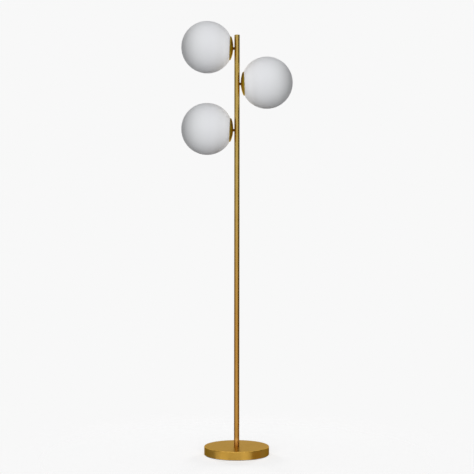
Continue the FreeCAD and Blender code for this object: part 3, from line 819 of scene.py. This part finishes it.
shoulder_centre = (cap_rim - shoulder, rim_level)
inner_dome = cap_dome - cap_wall
inner_shoulder = shoulder - cap_wall
cap_outline = (
    dome_run(cap_dome, cap_hole, dome_end(cap_dome), 36)
    + arc(shoulder_centre, shoulder, -shoulder_lean, 0, 16)[1:]
    + arc((cap_rim - cap_bead, rim_level), cap_bead, 15, 225, 10)
    + arc(shoulder_centre, inner_shoulder, -8, -shoulder_lean, 10)
    + dome_run(inner_dome, dome_end(inner_dome), cap_hole, 24)[1:]
)
# Painted light and shade on each cap: lighter towards the middle of the dome, darker over its upper half
# and lighter over its lower half. The rim bead gets a painted highlight.
cap_painted_shading = (
    ("Z", (rim_level - 1.5) / 1000, (cap_back + 5.5) / 1000, (1.90, 1.90, 1.90, 1)),
    ("Y", -0.010, 0.040, (0.66, 0.66, 0.66, 1)), ("Y", 0.010, -0.040, (1.25, 1.25, 1.20, 1)),
)
for head, place in heads.items():
    cap_brass = plated(
        head + "_cap_brass", (0.335, 0.222, 0.025, 1), (0.293, 0.192, 0.018, 1), 0.30, 1300.0, place,
        edge={"Edge radius": cap_rim / 1000, "Edge height": rim_level / 1000, "Reach": 0.0014},
        glance=(0.66, 0.55, 0.25, 1), zones=cap_painted_shading)
    finish_as(turned(head + "_spun_cap", cap_outline, cap_brass, facets=144, place=place),
              "stand", "dark_brass", head + "_cap")


# Fitters, gaskets, washers and nuts
# Behind the cap a turned aluminium fitter has a flat seat and a skirt with a coarse 4 mm thread
# for the globe. A silicone ring lies on the seat, and a washer and nut clamp the fitter and cap.
fitter_ball = inner_dome - 0.2
web_ball = fitter_ball - 3.0
flange_radius = 38.8
seat_front = dome_point(fitter_ball, flange_radius)[1] + 1.7
skirt_radius = 33.3
skirt_bore = 31.3
skirt_end = seat_front + 8.3
hub_radius = 13.0
hub_front = 19.4 - globe_centre
globe_pitch = 4.0
fitter_outline = (
    dome_run(fitter_ball, cap_hole, flange_radius - 0.3, 24)
    + [(flange_radius, seat_front - 1.3), (flange_radius, seat_front - 0.3)]
    + [(flange_radius - 0.3, seat_front), (skirt_radius, seat_front)]
    + thread_points(skirt_radius, seat_front + 0.2, skirt_end - 0.5, globe_pitch, 10)
    + [(skirt_radius - 0.5, skirt_end), (skirt_bore + 0.3, skirt_end), (skirt_bore, skirt_end - 0.3)]
    + dome_run(web_ball, skirt_bore, hub_radius + 0.2, 16)
    + [(hub_radius, hub_front), (cap_hole, hub_front)]
)
gasket_inner = skirt_radius + 0.6
gasket_outer = flange_radius - 0.2
gasket_round = 0.5
seat_back = seat_front + 2.3
gasket_outline = (
    arc((gasket_outer - gasket_round, seat_front + gasket_round), gasket_round, -90, 0, 4)
    + arc((gasket_outer - gasket_round, seat_back - gasket_round), gasket_round, 0, 90, 4)
    + arc((gasket_inner + gasket_round, seat_back - gasket_round), gasket_round, 90, 180, 4)
    + arc((gasket_inner + gasket_round, seat_front + gasket_round), gasket_round, 180, 270, 4)
)
gasket_silicone = moulded("gasket_silicone", (0.78, 0.78, 0.75, 1), (0.70, 0.70, 0.67, 1),
                          0.55, 900.0, 0.00005)
for head, place in heads.items():
    fitter_metal = plated(
        head + "_fitter_metal", (0.66, 0.67, 0.68, 1), (0.56, 0.57, 0.59, 1), 0.36, 900.0, place)
    finish_as(turned(head + "_screw_fitter", fitter_outline, fitter_metal, facets=112, place=place, thread={
        "radius": skirt_radius, "depth": 0.8, "pitch": globe_pitch,
        "start": seat_front - 1.5, "end": skirt_end + 1.0}),
        "stand", "die_cast_aluminium", head + "_fitter")
    finish_as(turned(head + "_seal_ring", gasket_outline, gasket_silicone, facets=112, place=place),
              head + "_gasket", "silicone", head + "_gasket")
dress(zinc_steel, "socket_washers", "socket_nuts")


# Lampholders
# Glazed porcelain bodies with a rolled mouth and two grip grooves. A thin brass shell with a
# rolled thread and a sprung brass contact inside take a bulb with a 26 mm screw cap.
holder_radius = 18.5
holder_waist = holder_radius - 0.6
holder_groove = holder_radius - 1.3
holder_hole = 4.05
holder_back = 26.4 - globe_centre
holder_front = 74.4 - globe_centre
holder_floor = holder_back + 7.0
holder_round = 1.4
well_radius = 13.9
well_floor = holder_front - 28.0
well_back = well_floor - 5.0
shell_radius = 13.7
shell_bore = 13.35
shell_pitch = 3.6
shell_front = well_floor + 23.0
contact_radius = 5.0
contact_round = 0.4
contact_front = well_floor + 0.8
porcelain_glaze = moulded("porcelain_glaze", (0.86, 0.85, 0.81, 1), (0.82, 0.80, 0.76, 1),
                          0.14, 220.0, 0.00006)
holder_outline = (
    [(holder_hole, holder_back), (holder_radius - 2.4, holder_back)]
    + arc((holder_radius - 2.4, holder_back + 1.6), 1.6, -90, -20, 5)
    + [(holder_waist, holder_floor)]
)
for groove in (holder_back + 15.0, holder_back + 20.0):
    holder_outline += [(holder_waist, groove - 1.2), (holder_groove, groove - 0.5),
                       (holder_groove, groove + 0.5), (holder_waist, groove + 1.2)]
holder_outline += (
    [(holder_waist, holder_front - 5.0)]
    + arc((holder_radius - holder_round, holder_front - holder_round), holder_round, 0, 90, 6)
    + arc((well_radius + holder_round, holder_front - holder_round), holder_round, 90, 180, 6)
    + [(well_radius, well_floor), (0, well_floor), (0, well_back), (well_radius, well_back)]
    + [(well_radius, holder_floor), (holder_hole, holder_floor)]
)
shell_outline = (
    thread_points(shell_radius, well_floor, shell_front, shell_pitch) + [(shell_bore + 0.05, shell_front)]
    + [(shell_bore, shell_front - 1.0), (shell_bore, well_floor)]
)
contact_outline = (
    [(0, well_floor), (contact_radius, well_floor), (contact_radius, contact_front - contact_round)]
    + arc((contact_radius - contact_round, contact_front - contact_round), contact_round, 0, 90, 3)
    + [(2.0, contact_front), (0, contact_front)]
)
contacts = []
for head, place in heads.items():
    finish_as(turned(head + "_holder", holder_outline, porcelain_glaze, facets=80, place=place),
              "stand", "porcelain", head + "_socket")
    shell_brass = plated(
        head + "_shell_brass", (0.74, 0.53, 0.21, 1), (0.66, 0.45, 0.16, 1), 0.24, 1500.0, place)
    finish_as(turned(head + "_rolled_shell", shell_outline, shell_brass, facets=64, place=place, thread={
        "radius": shell_radius, "depth": 0.22, "pitch": shell_pitch,
        "start": well_floor - 1.0, "end": shell_front + 0.5}),
        "stand", "contact_brass", head + "_screw_shell")
    contacts.append(
        turned(head + "_contact", contact_outline, shell_brass, facets=32, closed=False, place=place))
contact_former = bmesh.new()
for contact in contacts:
    contact_former.from_mesh(contact.data)
contact_mesh = mesh_from(contact_former, "contact_discs")
contact_mesh.materials.append(contacts[0].data.materials[0])
contact_mesh.shade_smooth()
contact_mesh.set_sharp_from_angle(angle=crease)
contact_discs = placed_object("contact_discs", contact_mesh)
for contact in contacts:
    bpy.data.objects.remove(contact)
finish_as(contact_discs, "stand", "contact_brass", "centre_contacts")


# Collars
# A white moulded screw ring is glued into the mouth of each globe. Its inside carries the coarse
# thread, and its rear lip hides the gasket.
collar_bore = 33.6
collar_outer = 41.2
collar_lip = flange_radius + 0.3
lip_back = dome_point(inner_dome, collar_outer)[1] + 0.6
collar_end = seat_back + 6.8
collar_plastic = moulded("collar_plastic", (0.82, 0.82, 0.79, 1), (0.76, 0.76, 0.73, 1),
                         0.40, 1600.0, 0.00004)
collar_outline = (
    [(collar_bore, seat_back), (collar_lip, seat_back), (collar_lip, lip_back + 0.3)]
    + [(collar_lip + 0.3, lip_back), (collar_outer - 0.4, lip_back), (collar_outer, lip_back + 0.4)]
    + [(collar_outer, collar_end - 0.5), (collar_outer - 0.5, collar_end), (collar_bore + 0.4, collar_end)]
    + thread_points(collar_bore, collar_end - 0.4, seat_back + 0.2, globe_pitch, 10)
)
for head, place in heads.items():
    finish_as(turned(head + "_screw_ring", collar_outline, collar_plastic, facets=112, place=place, thread={
        "radius": collar_bore, "depth": -0.7, "pitch": globe_pitch,
        "start": seat_back - 1.5, "end": collar_end + 1.5}),
        head + "_globe", "white_plastic", head + "_collar")


# Globes
# Blown three-layer opal glass, 200 mm across, etched to a satin. The mouth is flattened to a lip
# and fire-polished, so its edges are rounded. Painted shade makes the glass lighter near the
# mouth and darker towards the far end, and a faint painted glow comes out round the mouth.
globe_radius = 100.0
globe_wall = 3.0
mouth_radius = 41.5
mouth_back = cap_back + cap_depth + 0.3
mouth_front = mouth_back + globe_wall
mouth_round = 0.8
painted_shade_steps = (
    (0.08, (0.975, 0.978, 0.985, 1)), (0.27, (0.880, 0.887, 0.904, 1)), (0.45, (0.816, 0.825, 0.848, 1)),
    (0.72, (0.798, 0.810, 0.824, 1)), (0.86, (0.740, 0.749, 0.759, 1)), (1.0, (0.630, 0.638, 0.648, 1)),
)


def opal(name, place):
    """Satin opal glass with a fine etched bloom. Painted shade makes it lighter towards the mouth
    and darker towards the far end.

    A faint painted glow comes out round the mouth."""
    made, tree, shader, where = new_material(name, place)
    tone = use_group(tree, cloudy_tone, {"Vector": where, "Clouds per metre": 9.0})
    etch = use_group(tree, fine_grain, {"Vector": where, "Grains per metre": 2400.0})
    along = spread(tree, coordinate(tree, where, "Z"), -globe_radius / 1000, globe_radius / 1000)
    painted_shade_ramp = node(tree, "ShaderNodeValToRGB", {0: along})
    stops = painted_shade_ramp.color_ramp.elements
    stops[0].position = painted_shade_steps[0][0]
    for position, tint in painted_shade_steps[1:-1]:
        stops.new(position)
    for stop, (position, tint) in zip(stops, painted_shade_steps):
        stop.color = tint
    faint = spread(tree, tone, 0.0, 1.0, 0.985, 1.0)
    feed(tree, shader, {
        "Base Color": result(tree, "ShaderNodeVectorMath", {0: painted_shade_ramp.outputs["Color"], "Scale": faint},
                             operation="SCALE"),
        "Roughness": spread(tree, etch, 0.0, 1.0, 0.46, 0.56), "Normal": bump(tree, etch, 0.12, 0.00003),
        # A faint painted glow round the mouth.
        "Emission Strength": spread(tree, along, 0.27, 0.09, 0.0, 0.095, "SMOOTHSTEP"),
        "Emission Color": (1, 1, 1, 1), "IOR": 1.5, "Specular IOR Level": 0.4})
    return made


def ball_angle_run(ball, start, end, steps):
    """Points of a ball about the globe's centre. Angle 0 is towards the pole, 180 away from it."""
    points = []
    for step in range(steps + 1):
        angle = math.radians(start + (end - start) * step / steps)
        points.append((ball * math.sin(angle), -ball * math.cos(angle)))
    return points


lip_angle = math.degrees(math.acos(-mouth_back / globe_radius))
bore_angle = math.degrees(math.acos(-mouth_front / (globe_radius - globe_wall)))
outer_run = ball_angle_run(globe_radius, lip_angle + 0.7, 180, 96)
inner_run = ball_angle_run(globe_radius - globe_wall, 180, bore_angle + 1.2, 72)
outer_run[-1] = (0, globe_radius)
inner_run[0] = (0, globe_radius - globe_wall)
lip_edge = math.sqrt(globe_radius ** 2 - mouth_back ** 2)
globe_outline = (
    outer_run + inner_run
    + [(lip_edge - 0.2, mouth_front + 0.45), (lip_edge - 1.5, mouth_front + 0.12)]
    + [(lip_edge - 2.9, mouth_front)]
    + arc((mouth_radius + mouth_round, mouth_front - mouth_round), mouth_round, 90, 180, 5)
    + arc((mouth_radius + mouth_round, mouth_back + mouth_round), mouth_round, 180, 270, 5)
    + [(lip_edge - 1.2, mouth_back), (lip_edge - 0.35, mouth_back + 0.18)]
)
for head, place in heads.items():
    glass = opal(head + "_opal", place)
    finish_as(turned(head + "_opal_ball", globe_outline, glass, facets=144, place=place),
              head + "_globe", "opal_glass", head + "_globe")


# Bulbs
# Frosted pear-shaped envelopes on aluminium screw caps: a 26 mm rolled thread, a black glass
# insulator and a soldered tip. Each stands along its head's own axis.
bulb_tip = 47.4 - globe_centre
solder_end = bulb_tip + 1.6
insulator_end = bulb_tip + 3.6
cap_end = bulb_tip + 25.0
neck_end = cap_end + 9.0
neck_outer = 13.0
neck_inner = 12.0
crown_centre = neck_end + 44.0
crown_radius = 30.0
bulb_wall = 1.0
screw_cap_outline = (
    [(0, bulb_tip), (2.6, bulb_tip)] + arc((3.5, bulb_tip + 1.0), 1.0, -90, 0, 4) + [(4.5, bulb_tip + 1.5)]
    + [(7.0, bulb_tip + 2.2), (11.5, bulb_tip + 3.5), (12.6, bulb_tip + 4.6)]
    + thread_points(neck_outer, bulb_tip + 5.2, cap_end - 3.0, shell_pitch, 9)
    + [(neck_outer, cap_end - 0.3), (neck_outer - 0.3, cap_end), (0, cap_end)]
)


def flank_angle(neck_radius, head_radius):
    """The crown's angle at which the straight flank from the neck's end touches it."""
    span = math.hypot(neck_radius, crown_centre - neck_end)
    return math.degrees(math.atan2(neck_radius, crown_centre - neck_end) + math.acos(head_radius / span))


def crown_run(ball, start, end, steps):
    return [(radius, height + crown_centre) for radius, height in ball_angle_run(ball, start, end, steps)]


inner_crown = crown_radius - bulb_wall
bulb_outline = (
    [(neck_outer, cap_end), (neck_outer, neck_end - 3.0), (neck_outer + 0.05, neck_end - 1.0)]
    + [(neck_outer + 0.4, neck_end + 1.2)]
    + crown_run(crown_radius, flank_angle(neck_outer, crown_radius), 180, 36)
    + crown_run(inner_crown, 180, flank_angle(neck_inner, inner_crown), 30)
    + [(neck_inner, neck_end), (neck_inner, cap_end)]
)


def cap_metal(name, place):
    """Bright aluminium with a black insulator and a dull solder tip, told apart by height."""
    made, tree, shader, where = new_material(name, place)
    height = coordinate(tree, where, "Z")
    tone = use_group(tree, cloudy_tone, {"Vector": where, "Clouds per metre": 120.0})
    past_solder = calc(tree, "GREATER_THAN", height, solder_end / 1000)
    past_insulator = calc(tree, "GREATER_THAN", height, insulator_end / 1000)
    tip = blend(tree, past_solder, (0.46, 0.46, 0.47, 1), (0.012, 0.012, 0.015, 1))
    metal = blend(tree, tone, (0.66, 0.66, 0.66, 1), (0.76, 0.76, 0.75, 1))
    insulator = calc(tree, "SUBTRACT", past_solder, past_insulator)
    feed(tree, shader, {
        "Base Color": blend(tree, past_insulator, tip, metal),
        "Metallic": calc(tree, "SUBTRACT", 1.0, insulator),
        "Roughness": spread(tree, tone, 0.0, 1.0, 0.20, 0.32)})
    return made


bulb_frost = moulded("bulb_frost", (0.90, 0.90, 0.88, 1), (0.86, 0.86, 0.84, 1), 0.36, 2200.0, 0.00002)
for head, place in heads.items():
    bulb_metal = cap_metal(head + "_bulb_metal", place)
    finish_as(turned(head + "_bulb_cap", screw_cap_outline, bulb_metal, 72, False, place=place, thread={
        "radius": neck_outer, "depth": 0.8, "pitch": shell_pitch,
        "start": bulb_tip + 4.0, "end": cap_end - 2.0}),
        head + "_bulb", "bulb_shell", head + "_bulb_base")
    finish_as(turned(head + "_envelope", bulb_outline, bulb_frost, facets=96, place=place),
              head + "_bulb", "frosted_glass", head + "_bulb")
